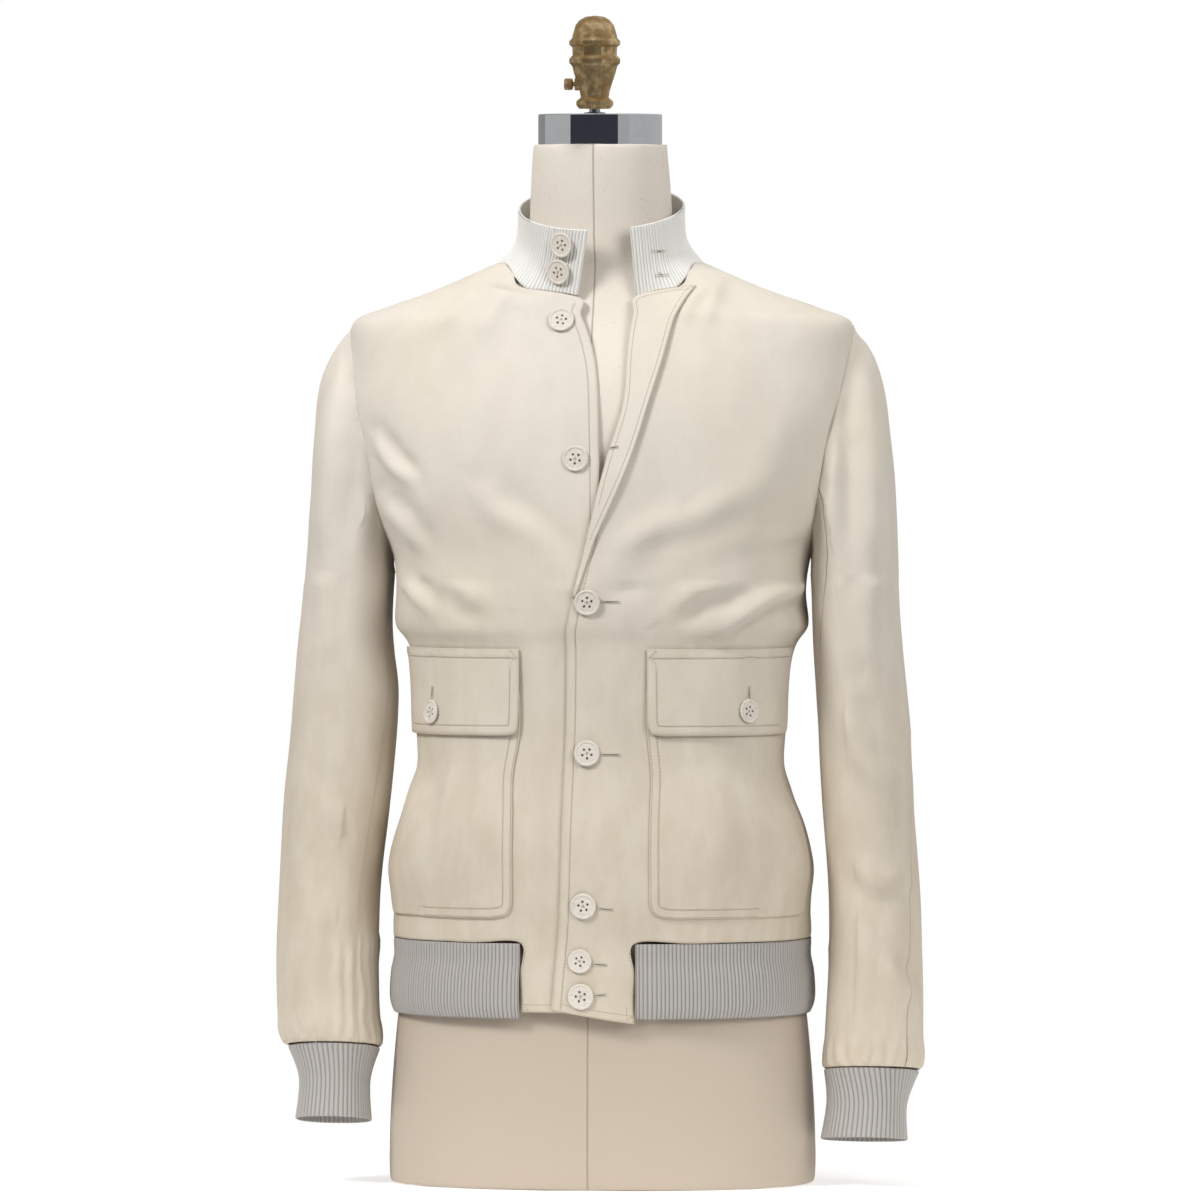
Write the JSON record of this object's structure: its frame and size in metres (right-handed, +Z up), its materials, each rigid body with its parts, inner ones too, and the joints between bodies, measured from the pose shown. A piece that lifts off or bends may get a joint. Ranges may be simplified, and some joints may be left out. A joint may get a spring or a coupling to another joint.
{
  "type": "suede blouson jacket on a limbless dress form",
  "caption": "Pale suede blouson with rib-knit collar, cuffs and waistband, button front and flapped patch pockets, worn open at the neck on a limbless dress form.",
  "frame": {"origin": "centre of the dress form's flat base, on the surface it stands on", "axes": "+Z up; the front of the jacket faces -Y; the wearer's left is +X"},
  "size_m": [0.5379, 0.2802, 0.9672],
  "materials": {
    "suede": "pale sand suede with a short soft nap",
    "rib_knit": "light grey rib knit",
    "rib_knit_pale": "pale grey rib knit",
    "button": "polished pale horn-like button",
    "canvas": "cream canvas stretched over the form",
    "chrome": "polished chrome",
    "steel": "plain steel",
    "brass": "aged brown brass"
  },
  "bodies": {
    "form": {"left_front": "suede", "left_front_turnback": "suede", "right_front": "suede", "back": "suede", "left_top_sleeve": "suede", "left_under_sleeve": "suede", "right_top_sleeve": "suede", "right_under_sleeve": "suede", "left_pocket": "suede", "right_pocket": "suede", "left_flap": "suede", "right_flap": "suede", "left_cuff": "rib_knit", "right_cuff": "rib_knit", "waistband": "rib_knit", "collar": "rib_knit_pale", "collar_button_1": "button", "collar_button_2": "button", "front_button_1": "button", "front_button_2": "button", "front_button_3": "button", "front_button_4": "button", "front_button_5": "button", "front_button_6": "button", "front_button_7": "button", "left_flap_button": "button", "right_flap_button": "button", "form_body": "canvas", "neck_cap": "chrome", "stem": "steel", "finial": "brass"},
    "thumb_screw": {"thumb_screw": "brass"}
  },
  "joints": [
    {"name": "thumb_screw_turn", "type": "hinge", "parent": "form", "child": "thumb_screw", "pos_m": [-0.0046, -0.018, 0.9105], "axis": [-1, 0, 0], "continuous": true}
  ]
}
